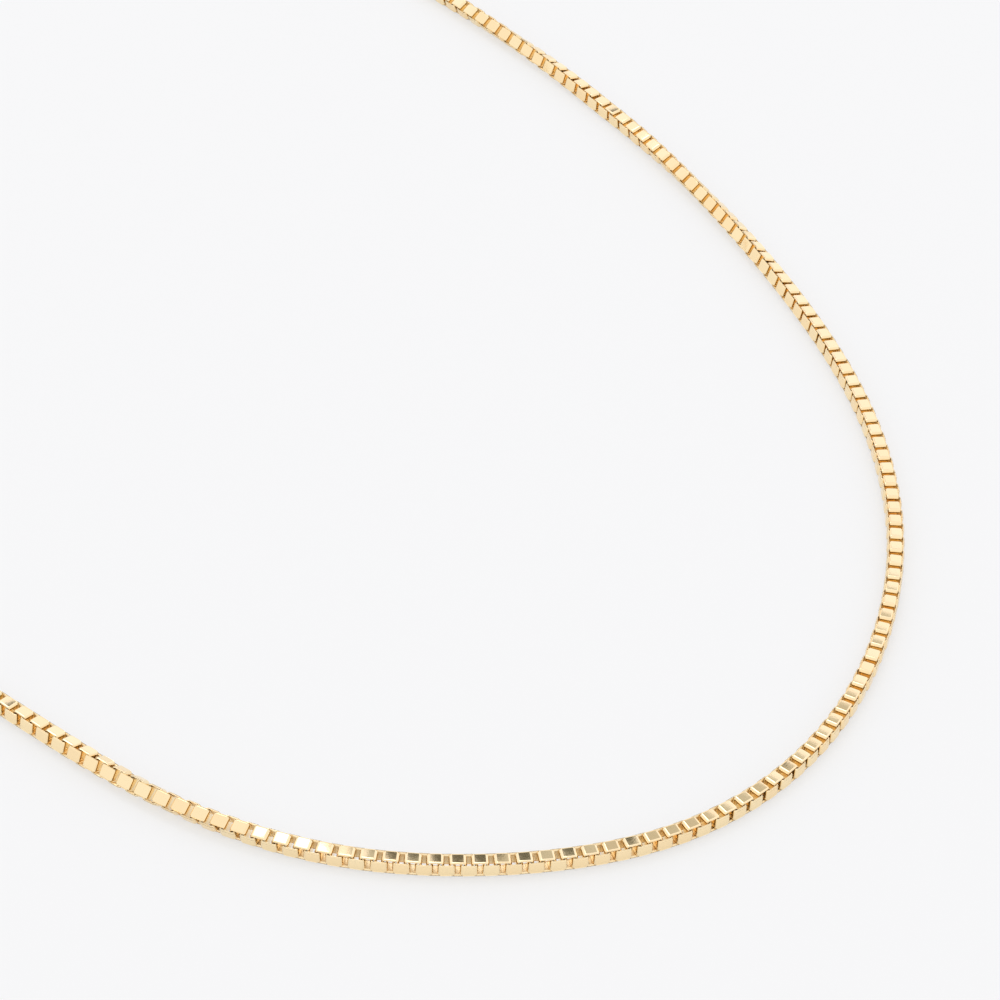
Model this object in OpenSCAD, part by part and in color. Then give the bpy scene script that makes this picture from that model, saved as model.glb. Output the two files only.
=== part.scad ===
// Box chain necklace: a fine chain of square links, laid down in a long oval and closed with a
// barrel clasp. Millimetres, +Z up. The chain rests on z = 0 with its front towards -Y, and the
// origin lies in the middle of the oval on that plane.
// The links are too small and too many to be solids here, so each half of the chain is one tube
// of the links' outer shape. The tube rolls about its own length as the chain does.

/* [Link] */
// Width and height of a link across the chain
link_w = 1.18; // [1:0.02:1.6]
// Length of a link along the chain
link_l = 1.14; // [1.08:0.02:1.3]
// Distance from one link to the next, a little less than the chain pulled taut
link_pitch = 0.7; // [0.66:0.02:0.76]
// Thickness of the strip that a link is bent from
strip_t = 0.14; // [0.1:0.01:0.16]
// Play of a link inside its neighbours, on each side
link_play = 0.02; // [0.01:0.005:0.04]
// Radius on the inside of a link's bends
bend_r = 0.08; // [0.02:0.01:0.1]

/* [Jump rings] */
// Outside diameter of the ring between chain and clasp
ring_d = 2.6; // [2.4:0.1:4]
// Play of the ring's wire in the last link, on each side
ring_play = 0.09; // [0.08:0.01:0.12]
// Angle that the chain turns through at each ring
ring_turn = 12; // [0:1:20]

/* [Clasp] */
// Diameter of the barrel
barrel_d = 2.4; // [2:0.1:3]
// Length of the barrel
barrel_l = 7; // [5:0.5:10]
// Radius on the ends of the barrel
barrel_round = 0.5; // [0.2:0.1:0.8]
// Width of the seam round the middle of the barrel
seam_w = 0.3; // [0.1:0.05:0.5]
// Depth of that seam
seam_depth = 0.12; // [0.05:0.01:0.3]
// Thickness of the wire of the two eyes
eye_wire = 0.44; // [0.3:0.02:0.6]
// Play of a jump ring in an eye, all round
eye_play = 0.12; // [0.06:0.02:0.3]

/* [Fit] */
// Gap between the two halves of the chain, and between each half and its last link
piece_gap = 0.06; // [0.03:0.01:0.2]

/* [Hidden] */
GOLD = [0.93, 0.76, 0.42];

// The strip is as wide as the room inside a neighbouring link allows
strip_w = link_w - 2 * strip_t - 2 * link_play;
// The ring's wire shares the last link's hole with the end of the link before it
ring_room = link_pitch - strip_t;
ring_wire = min(ring_room, link_w - 2 * strip_t) - 2 * ring_play;
ring_r = (ring_d - ring_wire) / 2;
// The ring bends back a little across the width of the strip
ring_hole_r = ring_r - ring_wire / 2;
ring_bow = ring_hole_r - sqrt(ring_hole_r ^ 2 - (strip_w / 2) ^ 2);
ring_gap = (ring_room - ring_wire - ring_bow) / 2;

// The eyes stand upright on the barrel's ends, sunk into them by half their wire
eye_r = ring_wire / 2 + eye_play + eye_wire / 2;
eye_x = barrel_l / 2 + eye_r - eye_wire / 2;
barrel_z = barrel_d / 2;
link_z = link_w / 2;

// A jump ring slopes from the eye down to the last link
ring_slope = asin((barrel_z - link_z) / (2 * ring_r));
ring_run = 2 * ring_r * cos(ring_slope);
wire_in_link = link_l / 2 - strip_t - ring_gap - ring_bow - ring_wire / 2;
link_reach = ring_run + wire_in_link;
end_x = eye_x + link_reach * cos(ring_turn);

// Points that the middle of the chain passes through, from the left end of the clasp down the
// left side, across the front and up the right side: [x, y, roll]. The roll is how far the
// chain's top face leans towards the inside of the oval, in degrees.
back_y = 91.2;
end_y = back_y - link_reach * sin(ring_turn);
ROUTE = [
    [-end_x, end_y, -180], [-17.8, 87.5, -180], [-28.2, 81.3, -172], [-34.9, 69.8, -160],
    [-38.9, 55.4, -148], [-40.6, 38.7, -136], [-41.2, 21, -124], [-41.3, 3, -114],
    [-41.2, -14, -106], [-40.4, -34, -98], [-38.6, -53, -89], [-37.3, -65, -42],
    [-33.1, -76.1, -2], [-25, -85.1, 0], [-14.6, -91, 0], [-2.8, -91.5, 0],
    [8.5, -87.5, 0], [18.2, -80.5, 0], [25.8, -71.2, -2], [31.3, -60.5, -11],
    [35.4, -49.3, -39], [38.5, -37.7, -77], [40.3, -25.9, -115], [41.1, -14, -162],
    [41.3, 3, -180], [41.2, 21, -180], [40.6, 38.7, -180], [38.3, 55.4, -180],
    [33.7, 69.8, -180], [27, 80.1, -180], [17.8, 87.5, -180], [end_x, end_y, -180]
];
last = len(ROUTE) - 1;
// The point where the two halves meet, at the middle of the front
front = 15;
// Rings of corners along each half
rings = 40;

// Corners of the links' outer shape across the chain: [towards the side, towards the top face]
CORNERS = [
    [strip_w, link_w] / 2, [-strip_w, link_w] / 2, [-link_w, strip_w] / 2,
    [-link_w, -strip_w] / 2, [-strip_w, -link_w] / 2, [strip_w, -link_w] / 2,
    [link_w, -strip_w] / 2, [link_w, strip_w] / 2
];
sides = len(CORNERS);

// The route is a cubic spline. Each of its points is pulled out a little, so that the curve
// passes through the point itself.
function pull(k) =
    k < 0 ? 2 * ROUTE[0] - pull(1) :
    k > last ? 2 * ROUTE[last] - pull(last - 1) :
    k == 0 || k == last ? ROUTE[k] :
    (8 * ROUTE[k] - ROUTE[k - 1] - ROUTE[k + 1]) / 6;

// A weighted sum of the four pulled points round place u, where u counts along ROUTE
function blend(k, w) =
    w[0] * pull(k - 1) + w[1] * pull(k) + w[2] * pull(k + 1) + w[3] * pull(k + 2);

function spot(u) =
    let (k = min(floor(u), last - 1), t = u - k)
    blend(k, [(1 - t) ^ 3, 3 * t ^ 3 - 6 * t ^ 2 + 4, -3 * t ^ 3 + 3 * t ^ 2 + 3 * t + 1, t ^ 3] / 6);

function pace(u) =
    let (k = min(floor(u), last - 1), t = u - k)
    blend(k, [-(1 - t) ^ 2, 3 * t ^ 2 - 4 * t, -3 * t ^ 2 + 2 * t + 1, t ^ 2] / 2);

// Length of chain for one step of u, near u
function stride(u) = let (v = pace(u)) norm([v[0], v[1]]);

// Height of the chain's middle above the surface, when it has rolled by this much
function rest_z(roll) = max([for (c = CORNERS) c[0] * sin(roll) + c[1] * cos(roll)]);

// The corners of the outer shape, set across the route at u
function section(u) =
    let (
        p = spot(u),
        v = pace(u) / stride(u),
        roll = p[2],
        inward = [-v[1], v[0], 0],
        up = [0, 0, 1],
        middle = [p[0], p[1], rest_z(roll)]
    )
    [for (c = CORNERS)
        middle
        + c[0] * (cos(roll) * inward - sin(roll) * up)
        + c[1] * (cos(roll) * up + sin(roll) * inward)];

// The chain's outer shape between two places on the route
module tube(from, to) {
    points = [for (r = [0:rings - 1], p = section(from + (to - from) * r / (rings - 1))) p];
    ends = [
        [for (s = [0:sides - 1]) s],
        [for (s = [sides - 1:-1:0]) (rings - 1) * sides + s]
    ];
    walls = [for (r = [0:rings - 2], s = [0:sides - 1], half = [0, 1])
        let (
            a = r * sides + s,
            b = r * sides + (s + 1) % sides
        )
        half == 0 ? [a, a + sides, b] : [b, a + sides, b + sides]];
    polyhedron(points, concat(ends, walls), convexity = 6);
}

module rounded_square(l, w, r) {
    square([l - 2 * r, w], center = true);
    square([l, w - 2 * r], center = true);
    for (x = [-1, 1], y = [-1, 1])
        translate([x * (l / 2 - r), y * (w / 2 - r)])
            circle(r, $fn = 48);
}

// A true link: a square ring bent from flat strip, with its hole across the chain
module link() {
    rotate([90, 0, 0])
        linear_extrude(strip_w, center = true)
            difference() {
                rounded_square(link_l, link_w, strip_t + bend_r);
                rounded_square(link_l - 2 * strip_t, link_w - 2 * strip_t, bend_r);
            }
}

module wire_ring(r, wire) {
    rotate_extrude($fn = 96)
        translate([r, 0])
            circle(wire / 2, $fn = 48);
}

// Half of the barrel's outline, from its axis outwards
module barrel_outline() {
    difference() {
        union() {
            square([barrel_d / 2 - barrel_round, barrel_l / 2]);
            square([barrel_d / 2, barrel_l / 2 - barrel_round]);
            translate([barrel_d / 2 - barrel_round, barrel_l / 2 - barrel_round])
                circle(barrel_round, $fn = 48);
        }
        translate([barrel_d / 2 - seam_depth, -seam_w / 2])
            square([barrel_d, seam_w]);
        translate([-barrel_d, -barrel_d])
            square([barrel_d, 2 * barrel_d + barrel_l]);
        translate([-barrel_d, -barrel_d])
            square([3 * barrel_d, barrel_d]);
    }
}

module chain_left() {
    first = (link_l / 2 + piece_gap) / stride(0);
    color(GOLD) tube(first, front - piece_gap / 2 / stride(front));
}

module chain_right() {
    first = (link_l / 2 + piece_gap) / stride(last);
    color(GOLD) tube(front + piece_gap / 2 / stride(front), last - first);
}

// Sets what hangs on one eye of the clasp: x runs from the middle of the eye along the chain
module at_eye(side) {
    translate([side * eye_x, back_y, 0])
        rotate([0, 0, side > 0 ? -ring_turn : 180 + ring_turn])
            children();
}

module end_link(side) {
    color(GOLD) at_eye(side) translate([link_reach, 0, link_z]) link();
}

module jump_ring(side) {
    color(GOLD) at_eye(side)
        translate([ring_run / 2, 0, (barrel_z + link_z) / 2])
            rotate([0, ring_slope, 0])
                wire_ring(ring_r, ring_wire);
}

module clasp() {
    color(GOLD) translate([0, back_y, barrel_z]) {
        for (side = [-1, 1])
            rotate([0, 90 * side, 0])
                rotate_extrude($fn = 96)
                    barrel_outline();
        for (side = [-1, 1])
            translate([side * eye_x, 0, 0])
                rotate([90, 0, 0])
                    wire_ring(eye_r, eye_wire);
    }
}

chain_left();
chain_right();
end_link(-1);  // end_link_left
end_link(1);  // end_link_right
jump_ring(-1);  // ring_left
jump_ring(1);  // ring_right
clasp();
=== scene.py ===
"""Gold box chain necklace, lying closed in a long oval.

Every link of the chain is a square ring of flat gold strip, turned a quarter against its
neighbours and passing through them. The chain follows the route of the solid model, and it
rolls about its own length as it goes, so that it lies on its faces and on its edges by turns.
"""

import math
import random

import bpy
import numpy as np
from bpy.props import FloatProperty, FloatVectorProperty, IntProperty, PointerProperty
from mathutils import Euler, Matrix, Vector


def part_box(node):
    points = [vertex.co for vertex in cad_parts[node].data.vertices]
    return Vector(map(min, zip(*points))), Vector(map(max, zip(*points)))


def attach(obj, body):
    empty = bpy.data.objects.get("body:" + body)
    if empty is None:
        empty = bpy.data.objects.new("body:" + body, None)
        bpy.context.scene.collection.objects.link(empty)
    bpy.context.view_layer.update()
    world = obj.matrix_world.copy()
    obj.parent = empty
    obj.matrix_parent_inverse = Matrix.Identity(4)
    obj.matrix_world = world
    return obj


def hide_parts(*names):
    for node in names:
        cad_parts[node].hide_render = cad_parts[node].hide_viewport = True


bl_info = {
    "name": "Box Chain Necklace",
    "version": (1, 0, 0),
    "blender": (4, 5, 0),
    "location": "View3D > Sidebar > Necklace",
    "description": "Builds a fine gold box chain with its jump rings, clasp and studio",
    "category": "Object",
}

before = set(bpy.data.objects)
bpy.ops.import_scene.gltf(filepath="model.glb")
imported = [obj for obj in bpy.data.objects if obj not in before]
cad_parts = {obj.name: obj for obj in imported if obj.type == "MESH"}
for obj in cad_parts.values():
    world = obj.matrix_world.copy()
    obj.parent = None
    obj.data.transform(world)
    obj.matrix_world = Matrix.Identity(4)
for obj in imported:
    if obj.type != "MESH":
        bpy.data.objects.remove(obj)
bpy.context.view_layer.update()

# One millimetre. Small pieces are modelled in millimetres and scaled as they are put in place
MM = 0.001
BODY = "root"

END_BOXES = {side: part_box(f"end_link_{side}") for side in ("left", "right")}
RING_BOXES = {side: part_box(f"ring_{side}") for side in ("left", "right")}
CLASP_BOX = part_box("clasp")


def middle(box):
    return (box[0] + box[1]) / 2


def height(box):
    return box[1].z - box[0].z


LEFT_END = middle(END_BOXES["left"])
RIGHT_END = middle(END_BOXES["right"])

# Points on the middle of the chain, from the last link on the left down the left side, across
# the front and up the right side: x and y in metres, and the roll in degrees, which is how far
# the chain's top face leans towards the inside of the oval
ROUTE = [
    (LEFT_END.x, LEFT_END.y, -180),
    (-0.0178, 0.0875, -180), (-0.0282, 0.0813, -172), (-0.0349, 0.0698, -160),
    (-0.0389, 0.0554, -148), (-0.0406, 0.0387, -136), (-0.0412, 0.0210, -124),
    (-0.0413, 0.0030, -114), (-0.0412, -0.0140, -106), (-0.0404, -0.0340, -98),
    (-0.0386, -0.0530, -89), (-0.0373, -0.0650, -42), (-0.0331, -0.0761, -2),
    (-0.0250, -0.0851, 0), (-0.0146, -0.0910, 0), (-0.0028, -0.0915, 0),
    (0.0085, -0.0875, 0), (0.0182, -0.0805, 0), (0.0258, -0.0712, -2),
    (0.0313, -0.0605, -11), (0.0354, -0.0493, -39), (0.0385, -0.0377, -77),
    (0.0403, -0.0259, -115), (0.0411, -0.0140, -162), (0.0413, 0.0030, -180),
    (0.0412, 0.0210, -180), (0.0406, 0.0387, -180), (0.0383, 0.0554, -180),
    (0.0337, 0.0698, -180), (0.0270, 0.0801, -180), (0.0178, 0.0875, -180),
    (RIGHT_END.x, RIGHT_END.y, -180),
]
# The point of the route where the two halves of the chain meet
FRONT = 15


def length_in_mm(title, description, millimetres):
    return FloatProperty(name=title, description=description, default=millimetres * MM,
                         unit="LENGTH", precision=6)


def angle_in_degrees(title, description, degrees):
    return FloatProperty(name=title, description=description, default=math.radians(degrees),
                         subtype="ANGLE")


def place_in_metres(title, description, place):
    return FloatVectorProperty(name=title, description=description, default=place, size=3,
                               subtype="TRANSLATION")


def direction(title, description, towards):
    return FloatVectorProperty(name=title, description=description, default=towards, size=3,
                               subtype="DIRECTION")


def surface_color(title, description, color):
    return FloatVectorProperty(name=title, description=description, default=color, size=3,
                               min=0, max=1, subtype="COLOR")


def light_color(title, description, color):
    """A light's colour, which may be brighter than white."""
    return FloatVectorProperty(name=title, description=description, default=color, size=3,
                               min=0, subtype="COLOR")


class ChainSizes(bpy.types.PropertyGroup):
    link_width: length_in_mm(
        "Link width", "Width and height of a link across the chain",
        height(END_BOXES["left"]) / MM)
    link_length: length_in_mm("Link length", "Length of a link along the chain", 1.14)
    strip_width: length_in_mm(
        "Strip width", "Width of the flat strip that a link is bent from", 0.86)
    strip_thickness: length_in_mm("Strip thickness", "Thickness of that strip", 0.14)
    pitch: length_in_mm("Pitch", "Distance from one link to the next, nearly pulled taut", 0.7)
    bend_radius: length_in_mm("Bend radius", "Outside radius of the bends of a link", 0.22)
    edge_radius: length_in_mm("Edge radius", "Radius worn on the long edges of the strip", 0.1)
    tilt: angle_in_degrees("Tilt", "How far links lean out of line with each other", 0.6)
    seed: IntProperty(name="Seed", description="Start of the random draws", default=7)


class EndSizes(bpy.types.PropertyGroup):
    ring_diameter: length_in_mm("Ring diameter", "Outside diameter of a jump ring", 2.6)
    ring_wire: length_in_mm("Ring wire", "Thickness of a jump ring's wire", 0.38)
    solder: length_in_mm("Solder", "How far the soldered joint of a ring swells", 0.015)
    barrel_diameter: length_in_mm(
        "Barrel diameter", "Diameter of the clasp's barrel", height(CLASP_BOX) / MM)
    barrel_length: length_in_mm("Barrel length", "Length of the clasp's barrel", 7)
    barrel_round: length_in_mm("Barrel round", "Radius on the ends of the barrel", 0.5)
    seam_width: length_in_mm("Seam width", "Width of the seam round the middle of the barrel", 0.3)
    seam_depth: length_in_mm("Seam depth", "Depth of that seam", 0.12)
    seam_edge: length_in_mm("Seam edge", "Radius on the two edges of the seam", 0.05)
    eye_diameter: length_in_mm("Eye diameter", "Outside diameter of the clasp's two eyes", 1.5)
    eye_wire: length_in_mm("Eye wire", "Thickness of the wire of the eyes", 0.44)


class GoldFinish(bpy.types.PropertyGroup):
    color: surface_color("Gold", "Colour of the polished gold", (1.0, 0.815, 0.51))
    warm: surface_color("Warm gold", "Colour of the redder links", (1.0, 0.775, 0.46))
    roughness: FloatProperty(
        name="Roughness", description="Roughness of the polish", default=0.08, min=0, max=1)
    satin: FloatProperty(
        name="Satin", description="How much rougher the inside of a link is", default=0.35,
        min=0, max=1)


class StudioLook(bpy.types.PropertyGroup):
    floor_size: length_in_mm("Floor size", "Width and depth of the floor", 6000)
    floor_color: surface_color("Floor", "Colour of the floor", (0.34, 0.34, 0.34))
    floor_glow: FloatProperty(
        name="Floor glow", description="Light that comes up through the white light table",
        default=0.56, min=0)
    tent: light_color("Tent", "Light of the white tent round the floor", (1.0, 1.0, 1.0))
    window: light_color(
        "Window", "Light of the cooler, brighter side of the tent", (1.12, 1.12, 1.21))
    window_side: direction("Window side", "Direction of that side", (0.72, 0.52, 0.46))
    window_reach: angle_in_degrees("Window reach", "Half the angle that this side fills", 38)
    window_blur: angle_in_degrees("Window blur", "Angle over which this side fades out", 25)
    shade: light_color(
        "Shade", "Light of the grey card that the top plates mirror", (0.6, 0.6, 0.58))
    shade_side: direction("Shade side", "Direction of the grey card", (0.522, 0.412, 0.747))
    shade_reach: angle_in_degrees("Shade reach", "Half the angle that the grey card fills", 4.6)
    card: light_color("Card", "Light of the dark card beside it", (0.12, 0.12, 0.1))
    card_side: direction("Card side", "Direction of the dark card", (0.541, 0.504, 0.673))
    card_reach: angle_in_degrees("Card reach", "Half the angle that the dark card fills", 2.6)
    card_blur: angle_in_degrees("Card blur", "Angle over which both cards fade out", 1)
    lamp_place: place_in_metres("Lamp", "Place of the softbox", (0.31, 0.50, 1.17))
    lamp_size: length_in_mm("Lamp size", "Diameter of the softbox", 520)
    lamp_power: FloatProperty(
        name="Lamp power", description="Power of the softbox", default=1.3, unit="POWER")
    camera_place: place_in_metres("Camera", "Place of the camera", (-0.1463, -0.1917, 0.1712))
    camera_target: place_in_metres(
        "Target", "Point that the camera looks at", (-0.0006, -0.0605, 0.0005))
    camera_roll: angle_in_degrees(
        "Camera roll", "Turn of the camera about its line of sight", 3.1)
    lens: FloatProperty(
        name="Lens", description="Focal length of the camera", default=134.6, unit="CAMERA")


# Small helpers

def deselect_all():
    if bpy.context.object and bpy.context.object.mode != "OBJECT":
        bpy.ops.object.mode_set(mode="OBJECT")
    bpy.ops.object.select_all(action="DESELECT")


def edit(obj, mode):
    """Edit mode on one object alone, with nothing of it selected."""
    deselect_all()
    obj.select_set(True)
    bpy.context.view_layer.objects.active = obj
    bpy.ops.object.mode_set(mode="EDIT")
    bpy.ops.mesh.select_mode(type=mode)
    bpy.ops.mesh.select_all(action="DESELECT")


def select_faces(obj, wanted):
    """Selects the faces for which wanted(face) is true."""
    bpy.ops.object.mode_set(mode="OBJECT")
    for face in obj.data.polygons:
        face.select = wanted(face)
    bpy.ops.object.mode_set(mode="EDIT")


def select_edges(obj, wanted):
    """Selects the edges for which wanted(start, end) is true."""
    bpy.ops.object.mode_set(mode="OBJECT")
    points = obj.data.vertices
    for edge in obj.data.edges:
        edge.select = wanted(*(points[v].co for v in edge.vertices))
    bpy.ops.object.mode_set(mode="EDIT")


def apply_modifier(obj, kind, **settings):
    modifier = obj.modifiers.new(kind.title(), kind)
    for name, value in settings.items():
        setattr(modifier, name, value)
    bpy.context.view_layer.objects.active = obj
    bpy.ops.object.modifier_apply(modifier=modifier.name)


def put_in_place(obj, matrix):
    """Scales a piece from millimetres and moves it, leaving its object at the origin."""
    deselect_all()
    obj.select_set(True)
    bpy.context.view_layer.objects.active = obj
    obj.matrix_world = matrix @ Matrix.Scale(MM, 4)
    bpy.ops.object.transform_apply(location=True, rotation=True, scale=True)


def finish_piece(obj, name, node, material):
    """Names a piece, dresses it and lets it stand for a node of the solid model."""
    obj.name = name
    obj.data.name = name
    obj.data.materials.clear()
    obj.data.materials.append(material)
    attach(obj, BODY)
    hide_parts(node)


# The route of the chain

def route_controls():
    """The route's points, pulled out so that a cubic B-spline passes through the route."""
    points = np.array(ROUTE, float)
    pulled = points.copy()
    pulled[1:-1] = (8 * points[1:-1] - points[:-2] - points[2:]) / 6
    before = 2 * pulled[0] - pulled[1]
    after = 2 * pulled[-1] - pulled[-2]
    return np.vstack([before, pulled, after])


def route_at(u):
    """x, y and roll at places u, where u counts along ROUTE."""
    controls = route_controls()
    last = len(ROUTE) - 1
    u = np.asarray(u, float)
    k = np.minimum(np.floor(u).astype(int), last - 1)
    t = u - k
    weights = [
        (1 - t) ** 3,
        3 * t ** 3 - 6 * t ** 2 + 4,
        -3 * t ** 3 + 3 * t ** 2 + 3 * t + 1,
        t ** 3,
    ]
    return sum(w[:, None] * controls[k + i] for i, w in enumerate(weights)) / 6


def rest_height(roll, sizes):
    """Height of the chain's middle when it lies rolled by this much."""
    wide, flat = sizes.link_width / 2, sizes.strip_width / 2
    corners = ((flat, wide), (wide, flat))
    return max(abs(a * math.sin(roll)) + abs(b * math.cos(roll)) for a, b in corners)


def link_places(sizes):
    """A matrix for every link from the left end to the right, at an even distance along the
    route, and the link's place along ROUTE."""
    steps_per_point = 60
    last = len(ROUTE) - 1
    u = np.linspace(0, last, last * steps_per_point + 1)
    path = route_at(u)
    strides = np.hypot(*np.diff(path[:, :2], axis=0).T)
    along = np.concatenate([[0], np.cumsum(strides)])
    links = 2 * math.ceil(along[-1] / sizes.pitch / 2)
    places = np.interp(np.linspace(0, along[-1], links + 1), along, u)
    nudge = 1e-3
    here = route_at(places)
    ahead = route_at(np.minimum(places + nudge, last))
    behind = route_at(np.maximum(places - nudge, 0))
    matrices = []
    for index, (x, y, roll) in enumerate(here):
        roll = math.radians(roll)
        travel = Vector((*(ahead[index] - behind[index])[:2], 0)).normalized()
        inward = Vector((-travel.y, travel.x, 0))
        up = Vector((0, 0, 1))
        side = math.cos(roll) * inward - math.sin(roll) * up
        top = math.cos(roll) * up + math.sin(roll) * inward
        if index % 2:
            side, top = top, -side
        turn = Matrix((travel, side, top)).transposed().to_4x4()
        place = Matrix.Translation((x, y, rest_height(roll, sizes)))
        matrices.append(place @ turn)
    return matrices, places


# The link

def model_link(sizes):
    """One link in millimetres: its length runs along X and its hole along Y."""
    length, width = sizes.link_length / MM, sizes.link_width / MM
    strip, thickness = sizes.strip_width / MM, sizes.strip_thickness / MM
    bends, worn = sizes.bend_radius / MM, sizes.edge_radius / MM
    bend_steps, worn_steps = 2, 1
    side_on = 0.9
    flat_weight = 60
    deselect_all()
    bpy.ops.mesh.primitive_cube_add(size=1, scale=(length, strip, width))
    link = bpy.context.object
    bpy.ops.object.transform_apply(location=False, rotation=False, scale=True)
    edit(link, "EDGE")
    select_edges(link, lambda a, b: abs(a.y - b.y) > strip / 2)
    bpy.ops.mesh.bevel(offset=bends, segments=bend_steps, affect="EDGES")
    bpy.ops.mesh.select_mode(type="FACE")
    select_faces(link, lambda face: abs(face.normal.y) > side_on)
    bpy.ops.mesh.inset(thickness=thickness, use_even_offset=True)
    bpy.ops.mesh.bridge_edge_loops()
    bpy.ops.mesh.select_mode(type="EDGE")
    # The bridge leaves the inner walls selected, so their edges are worn as well
    select_edges(link, lambda a, b: on_rim(a, length, width, thickness)
                 and on_rim(b, length, width, thickness) and abs(a.y - b.y) < worn)
    bpy.ops.mesh.bevel(offset=worn, segments=worn_steps, affect="EDGES")
    bpy.ops.object.mode_set(mode="OBJECT")
    bpy.ops.object.shade_smooth()
    # Only the edges that touch the outside of the link are shaded smooth
    skin = 0.6 * thickness
    for edge in link.data.edges:
        ends = [link.data.vertices[v].co for v in edge.vertices]
        edge.use_edge_sharp = not any(on_rim(p, length, width, skin) for p in ends)
    apply_modifier(link, "WEIGHTED_NORMAL", keep_sharp=True, weight=flat_weight)
    return link


def on_rim(point, length, width, margin):
    """Whether a point lies clearly nearer than margin to the outside of a link."""
    clearly = 0.9
    depth = clearly * margin
    return abs(point.x) > length / 2 - depth or abs(point.z) > width / 2 - depth


def lean(draw, sizes):
    """A small turn that sets one link out of line with its neighbours."""
    return Euler([draw.gauss(0, sizes.tilt) for _ in range(3)]).to_matrix().to_4x4()


def link_arrays(link, sizes):
    """A link's points in metres, the normals of its corners, its faces, and a mark on each
    point: 1 on the inside of the link, which no polishing wheel reaches, and 0 elsewhere."""
    mesh = link.data
    points = np.empty(len(mesh.vertices) * 3)
    mesh.vertices.foreach_get("co", points)
    normals = np.empty(len(mesh.loops) * 3)
    mesh.corner_normals.foreach_get("vector", normals)
    faces = [list(face.vertices) for face in mesh.polygons]
    length, width = sizes.link_length / MM, sizes.link_width / MM
    thickness = sizes.strip_thickness / MM
    inside = [float(not on_rim(v.co, length, width, thickness)) for v in mesh.vertices]
    return points.reshape(-1, 3) * MM, normals.reshape(-1, 3), faces, inside


def join_links(link, matrices, draw, sizes, name):
    """One mesh of a link copied to every matrix. Each copy leans a little and stores a tone,
    both drawn at random."""
    points, normals, faces, inside = link_arrays(link, sizes)
    all_points, all_normals, all_faces, tones = [], [], [], []
    for index, matrix in enumerate(matrices):
        placed = np.array(matrix @ lean(draw, sizes))
        tone = draw.random()
        all_points.append(points @ placed[:3, :3].T + placed[:3, 3])
        all_normals.append(normals @ placed[:3, :3].T)
        start = index * len(points)
        all_faces.extend([v + start for v in face] for face in faces)
        tones.extend([tone] * len(points))
    chain = bpy.data.meshes.new(name)
    chain.from_pydata(np.concatenate(all_points).tolist(), [], all_faces)
    chain.shade_smooth()
    chain.normals_split_custom_set(np.concatenate(all_normals).tolist())
    for layer, values in (("link_tone", tones), ("link_inside", inside * len(matrices))):
        chain.attributes.new(layer, "FLOAT", "POINT").data.foreach_set("value", values)
    obj = bpy.data.objects.new(name, chain)
    bpy.context.scene.collection.objects.link(obj)
    return obj


# The jump rings and the clasp

def model_wire_ring(diameter, wire, name):
    """A closed ring of round wire in millimetres, lying flat round the Z axis."""
    wire_sides, steps = 20, 80
    deselect_all()
    bpy.ops.mesh.primitive_circle_add(
        vertices=wire_sides, radius=wire / 2, location=((diameter - wire) / 2, 0, 0),
        rotation=(math.pi / 2, 0, 0))
    ring = bpy.context.object
    ring.name = name
    bpy.ops.object.transform_apply(location=True, rotation=True, scale=True)
    edit(ring, "VERT")
    bpy.ops.mesh.select_all(action="SELECT")
    bpy.ops.mesh.spin(steps=steps, angle=2 * math.pi, center=(0, 0, 0), axis=(0, 0, 1))
    bpy.ops.mesh.select_all(action="SELECT")
    bpy.ops.mesh.remove_doubles(threshold=wire / 100)
    bpy.ops.mesh.normals_make_consistent(inside=False)
    bpy.ops.object.mode_set(mode="OBJECT")
    return ring


def swell_joint(ring, swell):
    """Swells the wire where the ring is soldered shut, on the side away from clasp and chain."""
    half_width = 0.12
    edit(ring, "FACE")
    select_faces(ring, lambda face: face.center.y > 0 and abs(face.center.x) < half_width)
    bpy.ops.transform.shrink_fatten(value=swell)
    bpy.ops.object.mode_set(mode="OBJECT")


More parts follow.
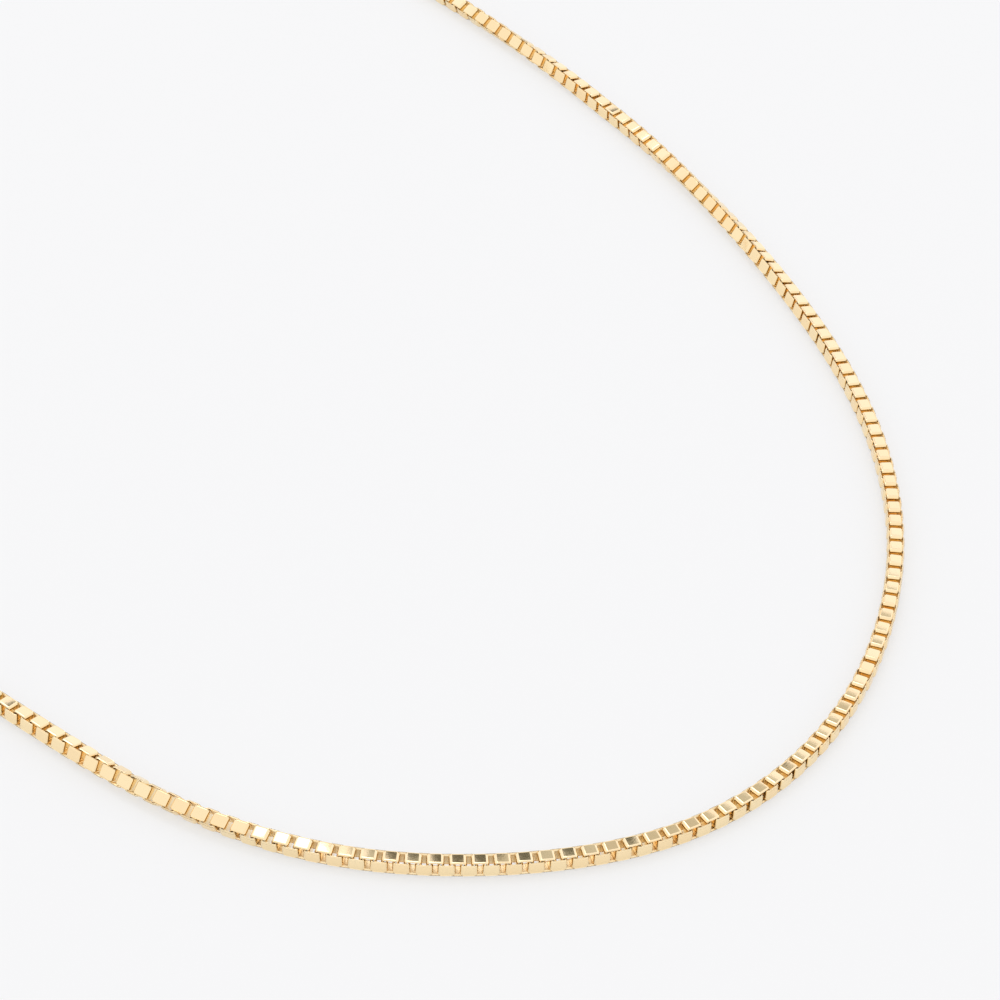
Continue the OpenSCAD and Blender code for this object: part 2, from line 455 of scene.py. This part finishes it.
def model_clasp(sizes):
    """The closed barrel with its two eyes in millimetres, its length along X."""
    radius, barrel = sizes.barrel_diameter / MM / 2, sizes.barrel_length / MM
    seam, depth = sizes.seam_width / MM, sizes.seam_depth / MM
    barrel_sides, end_steps, seam_steps = 96, 8, 2
    near = 0.001
    deselect_all()
    bpy.ops.mesh.primitive_cylinder_add(
        vertices=barrel_sides, radius=radius, depth=barrel, rotation=(0, math.pi / 2, 0))
    clasp = bpy.context.object
    bpy.ops.object.transform_apply(location=False, rotation=True, scale=True)
    edit(clasp, "EDGE")
    select_edges(clasp, lambda a, b: abs(a.x - b.x) < near)
    bpy.ops.mesh.bevel(offset=sizes.barrel_round / MM, segments=end_steps, affect="EDGES")
    for side in (-1, 1):
        bpy.ops.mesh.select_all(action="SELECT")
        bpy.ops.mesh.bisect(plane_co=(side * seam / 2, 0, 0), plane_no=(1, 0, 0))
    bpy.ops.mesh.select_mode(type="FACE")
    select_faces(clasp, lambda face: abs(face.center.x) < seam / 2)
    bpy.ops.mesh.extrude_region_move()
    narrower = (radius - depth) / radius
    bpy.ops.transform.resize(value=(1, narrower, narrower))
    bpy.ops.mesh.select_mode(type="EDGE")
    select_edges(clasp, lambda a, b: all(
        abs(abs(p.x) - seam / 2) < near and math.hypot(p.y, p.z) > radius - near
        for p in (a, b)))
    bpy.ops.mesh.bevel(offset=sizes.seam_edge / MM, segments=seam_steps, affect="EDGES")
    bpy.ops.mesh.select_all(action="SELECT")
    bpy.ops.mesh.normals_make_consistent(inside=False)
    bpy.ops.object.mode_set(mode="OBJECT")
    wire, outside = sizes.eye_wire / MM, sizes.eye_diameter / MM
    for side in (-1, 1):
        eye = model_wire_ring(outside, wire, "eye")
        eye_middle = side * (barrel / 2 + outside / 2 - wire)
        eye.matrix_world = (Matrix.Translation((eye_middle, 0, 0))
                            @ Matrix.Rotation(math.pi / 2, 4, "X"))
        apply_modifier(clasp, "BOOLEAN", operation="UNION", object=eye, solver="EXACT")
        bpy.data.objects.remove(eye)
    return clasp


def ring_place(side, sizes):
    """Where a jump ring lies: its X axis slopes from the clasp down to the last link."""
    centre, last = middle(RING_BOXES[side]), middle(END_BOXES[side])
    along = last - centre
    drop = middle(CLASP_BOX).z - last.z
    slope = math.asin(drop / (sizes.ring_diameter - sizes.ring_wire))
    return (Matrix.Translation(centre) @ Matrix.Rotation(math.atan2(along.y, along.x), 4, "Z")
            @ Matrix.Rotation(slope, 4, "Y"))


# Materials

def gold_material(finish):
    """Polished gold with faint polishing marks, satin on the inside of the links. The tone of
    each link varies a little."""
    smoothest, roughest = 0.7 * finish.roughness, 1.4 * finish.roughness
    mark_scale, mark_detail = 9000, 3
    mark_strength, mark_depth = 0.06, 0.02 * MM
    material = bpy.data.materials.new("polished_gold")
    material.use_nodes = True
    nodes, links = material.node_tree.nodes, material.node_tree.links
    shader = nodes["Principled BSDF"]
    shader.inputs["Metallic"].default_value = 1
    place = nodes.new("ShaderNodeTexCoord")
    tone = nodes.new("ShaderNodeAttribute")
    tone.attribute_name = "link_tone"
    tint = nodes.new("ShaderNodeMix")
    tint.data_type = "RGBA"
    tint.inputs["A"].default_value = (*finish.color, 1)
    tint.inputs["B"].default_value = (*finish.warm, 1)
    links.new(tone.outputs["Fac"], tint.inputs["Factor"])
    links.new(tint.outputs["Result"], shader.inputs["Base Color"])
    marks = nodes.new("ShaderNodeTexNoise")
    marks.inputs["Scale"].default_value = mark_scale
    marks.inputs["Detail"].default_value = mark_detail
    links.new(place.outputs["Object"], marks.inputs["Vector"])
    polish = nodes.new("ShaderNodeMapRange")
    polish.inputs["To Min"].default_value = smoothest
    polish.inputs["To Max"].default_value = roughest
    links.new(marks.outputs["Fac"], polish.inputs["Value"])
    inside = nodes.new("ShaderNodeAttribute")
    inside.attribute_name = "link_inside"
    satin = nodes.new("ShaderNodeMath")
    satin.operation = "MULTIPLY_ADD"
    satin.inputs[1].default_value = finish.satin
    links.new(inside.outputs["Fac"], satin.inputs[0])
    links.new(polish.outputs["Result"], satin.inputs[2])
    links.new(satin.outputs["Value"], shader.inputs["Roughness"])
    bump = nodes.new("ShaderNodeBump")
    bump.inputs["Strength"].default_value = mark_strength
    bump.inputs["Distance"].default_value = mark_depth
    links.new(marks.outputs["Fac"], bump.inputs["Height"])
    links.new(bump.outputs["Normal"], shader.inputs["Normal"])
    return material


def floor_material(look):
    """A matt white light table with a faint grain, which glows a little."""
    roughness, shine = 0.9, 0.1
    grain_scale, grain_shade = 700, 0.99
    material = bpy.data.materials.new("white_floor")
    material.use_nodes = True
    nodes, links = material.node_tree.nodes, material.node_tree.links
    shader = nodes["Principled BSDF"]
    shader.inputs["Roughness"].default_value = roughness
    shader.inputs["Specular IOR Level"].default_value = shine
    shader.inputs["Emission Color"].default_value = (1, 1, 1, 1)
    shader.inputs["Emission Strength"].default_value = look.floor_glow
    place = nodes.new("ShaderNodeTexCoord")
    grain = nodes.new("ShaderNodeTexNoise")
    grain.inputs["Scale"].default_value = grain_scale
    links.new(place.outputs["Object"], grain.inputs["Vector"])
    shade = nodes.new("ShaderNodeMix")
    shade.data_type = "RGBA"
    shade.inputs["A"].default_value = (*look.floor_color, 1)
    shade.inputs["B"].default_value = (*(grain_shade * c for c in look.floor_color), 1)
    links.new(grain.outputs["Fac"], shade.inputs["Factor"])
    links.new(shade.outputs["Result"], shader.inputs["Base Color"])
    return material


class NECKLACE_OT_camera(bpy.types.Operator):
    """Sets the camera at the angle of the photograph"""
    bl_idname = "necklace.camera"
    bl_label = "Camera"

    def execute(self, context):
        look = context.scene.necklace_studio
        nearest_in_view = 0.01
        deselect_all()
        bpy.ops.object.camera_add(location=look.camera_place)
        camera = context.object
        sight = Vector(look.camera_target) - Vector(look.camera_place)
        aim = sight.to_track_quat("-Z", "Y").to_matrix()
        camera.matrix_world = (Matrix.Translation(look.camera_place)
                               @ aim.to_4x4() @ Matrix.Rotation(look.camera_roll, 4, "Z"))
        camera.data.lens = look.lens
        camera.data.clip_start = nearest_in_view
        context.scene.camera = camera
        return {"FINISHED"}


class NECKLACE_OT_chain(bpy.types.Operator):
    """Makes both halves of the chain, link by link, and the last link at each end"""
    bl_idname = "necklace.chain"
    bl_label = "Chain"

    def execute(self, context):
        sizes = context.scene.necklace_chain
        draw = random.Random(sizes.seed)
        gold = gold_material(context.scene.necklace_gold)
        link = model_link(sizes)
        matrices, places = link_places(sizes)
        halves = {
            "left": [m for m, u in zip(matrices[1:-1], places[1:-1]) if u < FRONT],
            "right": [m for m, u in zip(matrices[1:-1], places[1:-1]) if u >= FRONT],
        }
        ends = {"left": matrices[0], "right": matrices[-1]}
        for side, places_on_side in halves.items():
            half = join_links(link, places_on_side, draw, sizes, f"{side}_links")
            finish_piece(half, f"{side}_links", f"chain_{side}", gold)
            last = join_links(link, [ends[side]], draw, sizes, f"last_link_{side}")
            finish_piece(last, f"last_link_{side}", f"end_link_{side}", gold)
        bpy.data.objects.remove(link)
        return {"FINISHED"}


class NECKLACE_OT_rings(bpy.types.Operator):
    """Makes the two soldered jump rings between the chain and the clasp"""
    bl_idname = "necklace.rings"
    bl_label = "Jump rings"

    def execute(self, context):
        sizes = context.scene.necklace_ends
        gold = gold_material(context.scene.necklace_gold)
        for side in RING_BOXES:
            ring = model_wire_ring(sizes.ring_diameter / MM, sizes.ring_wire / MM, "ring")
            swell_joint(ring, sizes.solder / MM)
            bpy.ops.object.shade_smooth()
            put_in_place(ring, ring_place(side, sizes))
            finish_piece(ring, f"jump_ring_{side}", f"ring_{side}", gold)
        return {"FINISHED"}


class NECKLACE_OT_clasp(bpy.types.Operator):
    """Makes the closed barrel clasp with its two eyes"""
    bl_idname = "necklace.clasp"
    bl_label = "Clasp"

    def execute(self, context):
        gold = gold_material(context.scene.necklace_gold)
        clasp = model_clasp(context.scene.necklace_ends)
        sharp_from = math.radians(40)
        bpy.ops.object.shade_smooth_by_angle(angle=sharp_from)
        put_in_place(clasp, Matrix.Translation(middle(CLASP_BOX)))
        finish_piece(clasp, "barrel_clasp", "clasp", gold)
        return {"FINISHED"}


def patch(tree, side, reach, blur):
    """Adds nodes that are 1 within an angle of one direction and fade to 0 past it."""
    look_at = tree.nodes.new("ShaderNodeTexCoord")
    match = tree.nodes.new("ShaderNodeVectorMath")
    match.operation = "DOT_PRODUCT"
    match.inputs[1].default_value = Vector(side).normalized()
    tree.links.new(look_at.outputs["Generated"], match.inputs[0])
    fade = tree.nodes.new("ShaderNodeMapRange")
    fade.interpolation_type = "SMOOTHSTEP"
    fade.inputs["From Min"].default_value = math.cos(reach + blur)
    fade.inputs["From Max"].default_value = math.cos(reach)
    tree.links.new(match.outputs["Value"], fade.inputs["Value"])
    return fade.outputs["Result"]


def tent_world(look):
    """A white tent with one brighter, cooler side and two small cards in it."""
    world = bpy.data.worlds.new("tent")
    world.use_nodes = True
    tree = world.node_tree
    light = None
    patches = [
        (look.window, look.window_side, look.window_reach, look.window_blur),
        (look.shade, look.shade_side, look.shade_reach, look.card_blur),
        (look.card, look.card_side, look.card_reach, look.card_blur),
    ]
    for color, side, reach, blur in patches:
        mix = tree.nodes.new("ShaderNodeMix")
        mix.data_type = "RGBA"
        tree.links.new(patch(tree, side, reach, blur), mix.inputs["Factor"])
        if light:
            tree.links.new(light, mix.inputs["A"])
        else:
            mix.inputs["A"].default_value = (*look.tent, 1)
        mix.inputs["B"].default_value = (*color, 1)
        light = mix.outputs["Result"]
    tree.links.new(light, tree.nodes["Background"].inputs["Color"])
    return world


class NECKLACE_OT_studio(bpy.types.Operator):
    """Makes the pale floor, the white tent and the softbox"""
    bl_idname = "necklace.studio"
    bl_label = "Studio"

    def execute(self, context):
        look = context.scene.necklace_studio
        deselect_all()
        bpy.ops.mesh.primitive_plane_add(size=look.floor_size)
        floor = context.object
        floor.name = "floor"
        floor.data.materials.append(floor_material(look))
        context.scene.world = tent_world(look)
        bpy.ops.object.light_add(type="AREA", location=look.lamp_place)
        lamp = context.object
        lamp.name = "softbox"
        lamp.data.shape = "DISK"
        lamp.data.size = look.lamp_size
        lamp.data.energy = look.lamp_power
        lamp.matrix_world = (Matrix.Translation(lamp.location)
                             @ lamp.location.to_track_quat("Z", "Y").to_matrix().to_4x4())
        context.scene.view_settings.view_transform = "Standard"
        return {"FINISHED"}


class NECKLACE_PT_panel(bpy.types.Panel):
    bl_idname = "NECKLACE_PT_panel"
    bl_label = "Box Chain Necklace"
    bl_space_type = "VIEW_3D"
    bl_region_type = "UI"
    bl_category = "Necklace"

    def draw(self, context):
        for step in STEPS:
            self.layout.operator(step.bl_idname)


STEPS = [NECKLACE_OT_camera, NECKLACE_OT_chain, NECKLACE_OT_rings, NECKLACE_OT_clasp,
         NECKLACE_OT_studio]
GROUPS = {"necklace_chain": ChainSizes, "necklace_ends": EndSizes,
          "necklace_gold": GoldFinish, "necklace_studio": StudioLook}


def register():
    for group in (*GROUPS.values(), *STEPS, NECKLACE_PT_panel):
        bpy.utils.register_class(group)
    for name, group in GROUPS.items():
        setattr(bpy.types.Scene, name, PointerProperty(type=group))


def unregister():
    for name in GROUPS:
        delattr(bpy.types.Scene, name)
    for group in (NECKLACE_PT_panel, *STEPS, *GROUPS.values()):
        bpy.utils.unregister_class(group)


def main():
    register()
    for step in STEPS:
        family, name = step.bl_idname.split(".")
        getattr(getattr(bpy.ops, family), name)()


if __name__ == "__main__":
    main()
